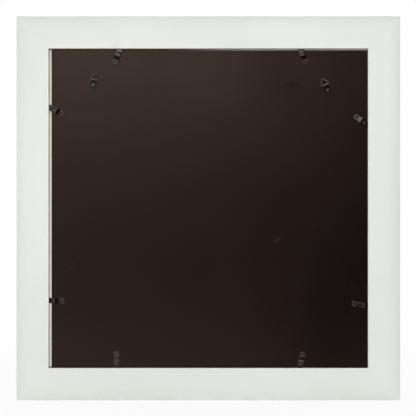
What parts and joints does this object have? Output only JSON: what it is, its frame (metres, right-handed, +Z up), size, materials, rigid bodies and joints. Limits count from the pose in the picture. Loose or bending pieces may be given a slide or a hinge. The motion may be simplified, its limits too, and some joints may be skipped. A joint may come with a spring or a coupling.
{
  "type": "multi-photo picture frame",
  "caption": "Square white multi-photo frame with window mat, glazing and prints, a dark backing board held by bending tabs, and riveted ring hangers on the back.",
  "frame": {"origin": "centre of the frame's back plane, where it lies on the wall", "axes": "+Z up, +Y out of the back towards the wall, -Y out of the front, +X to the left as seen from the back"},
  "size_m": [0.4856, 0.02, 0.4856],
  "materials": {
    "white_moulding": "fibreboard moulding with satin white paint, raw in the rabbet",
    "nail_steel": "bright spring steel",
    "clear_glass": "clear float glass",
    "mat_board": "warm white mat board with a pale core",
    "photo_paper": "semi-gloss photo paper",
    "backing_fibreboard": "thin fibreboard, dark brown-black coated face with a soft sheen",
    "black_steel": "black coated steel, worn to a shine on its edges"
  },
  "bodies": {
    "frame": {"rail_top": "white_moulding", "rail_left": "white_moulding", "rail_bottom": "white_moulding", "rail_right": "white_moulding", "corner_nail_top_left_outer": "nail_steel", "corner_nail_top_left_inner": "nail_steel", "corner_nail_top_right_outer": "nail_steel", "corner_nail_top_right_inner": "nail_steel", "corner_nail_bottom_left_outer": "nail_steel", "corner_nail_bottom_left_inner": "nail_steel", "corner_nail_bottom_right_outer": "nail_steel", "corner_nail_bottom_right_inner": "nail_steel", "glazing": "clear_glass", "window_mat": "mat_board", "print_row1_col1": "photo_paper", "print_row1_col2": "photo_paper", "print_row1_col3": "photo_paper", "print_row2_col1": "photo_paper", "print_row2_col2": "photo_paper", "print_row2_col3": "photo_paper", "print_row3_col1": "photo_paper", "print_row3_col2": "photo_paper", "print_row3_col3": "photo_paper", "backing_board": "backing_fibreboard", "tab_root_top_left": "black_steel", "tab_root_top_right": "black_steel", "tab_root_left_top": "black_steel", "tab_root_left_bottom": "black_steel", "tab_root_bottom_left": "black_steel", "tab_root_bottom_right": "black_steel", "tab_root_right_top": "black_steel", "tab_root_right_bottom": "black_steel", "hanger_rivet_left": "black_steel", "hanger_rivet_right": "black_steel"},
    "tab_top_left": {"tab_top_left": "black_steel"},
    "tab_top_right": {"tab_top_right": "black_steel"},
    "tab_left_top": {"tab_left_top": "black_steel"},
    "tab_left_bottom": {"tab_left_bottom": "black_steel"},
    "tab_bottom_left": {"tab_bottom_left": "black_steel"},
    "tab_bottom_right": {"tab_bottom_right": "black_steel"},
    "tab_right_top": {"tab_right_top": "black_steel"},
    "tab_right_bottom": {"tab_right_bottom": "black_steel"},
    "hanger_left": {"hanger_strap_left": "black_steel"},
    "hanger_right": {"hanger_strap_right": "black_steel"},
    "ring_left": {"hanger_ring_left": "black_steel"},
    "ring_right": {"hanger_ring_right": "black_steel"}
  },
  "joints": [
    {"name": "tab_top_left_bend", "type": "hinge", "parent": "frame", "child": "tab_top_left", "pos_m": [0.1125, -0.0046, 0.20065], "axis": [1, 0, 0], "range_deg": [0, 90]},
    {"name": "tab_top_right_bend", "type": "hinge", "parent": "frame", "child": "tab_top_right", "pos_m": [-0.11724, -0.0046, 0.20065], "axis": [1, 0, 0], "range_deg": [0, 90]},
    {"name": "tab_left_top_bend", "type": "hinge", "parent": "frame", "child": "tab_left_top", "pos_m": [0.20065, -0.0046, 0.12736], "axis": [0, 0, -1], "range_deg": [0, 90]},
    {"name": "tab_left_bottom_bend", "type": "hinge", "parent": "frame", "child": "tab_left_bottom", "pos_m": [0.20065, -0.0046, -0.11668], "axis": [0, 0, -1], "range_deg": [0, 90]},
    {"name": "tab_bottom_left_bend", "type": "hinge", "parent": "frame", "child": "tab_bottom_left", "pos_m": [0.11602, -0.0046, -0.20065], "axis": [-1, 0, 0], "range_deg": [0, 90]},
    {"name": "tab_bottom_right_bend", "type": "hinge", "parent": "frame", "child": "tab_bottom_right", "pos_m": [-0.11569, -0.0046, -0.20065], "axis": [-1, 0, 0], "range_deg": [0, 90]},
    {"name": "tab_right_top_bend", "type": "hinge", "parent": "frame", "child": "tab_right_top", "pos_m": [-0.20065, -0.0046, 0.10594], "axis": [0, 0, 1], "range_deg": [0, 90]},
    {"name": "tab_right_bottom_bend", "type": "hinge", "parent": "frame", "child": "tab_right_bottom", "pos_m": [-0.20065, -0.0046, -0.12352], "axis": [0, 0, 1], "range_deg": [0, 90]},
    {"name": "hanger_left_swivel", "type": "hinge", "parent": "frame", "child": "hanger_left", "pos_m": [0.146, -0.0066, 0.1552], "axis": [0, 1, 0], "continuous": true},
    {"name": "hanger_right_swivel", "type": "hinge", "parent": "frame", "child": "hanger_right", "pos_m": [-0.1513, -0.0066, 0.1493], "axis": [0, 1, 0], "continuous": true},
    {"name": "ring_left_swing", "type": "hinge", "parent": "hanger_left", "child": "ring_left", "pos_m": [0.14411, -0.00445, 0.16277], "axis": [-0.9703, 0, -0.2419], "range_deg": [0, 150]},
    {"name": "ring_right_swing", "type": "hinge", "parent": "hanger_right", "child": "ring_right", "pos_m": [-0.14788, -0.00445, 0.15631], "axis": [-0.8988, 0, 0.4384], "range_deg": [0, 150]}
  ]
}
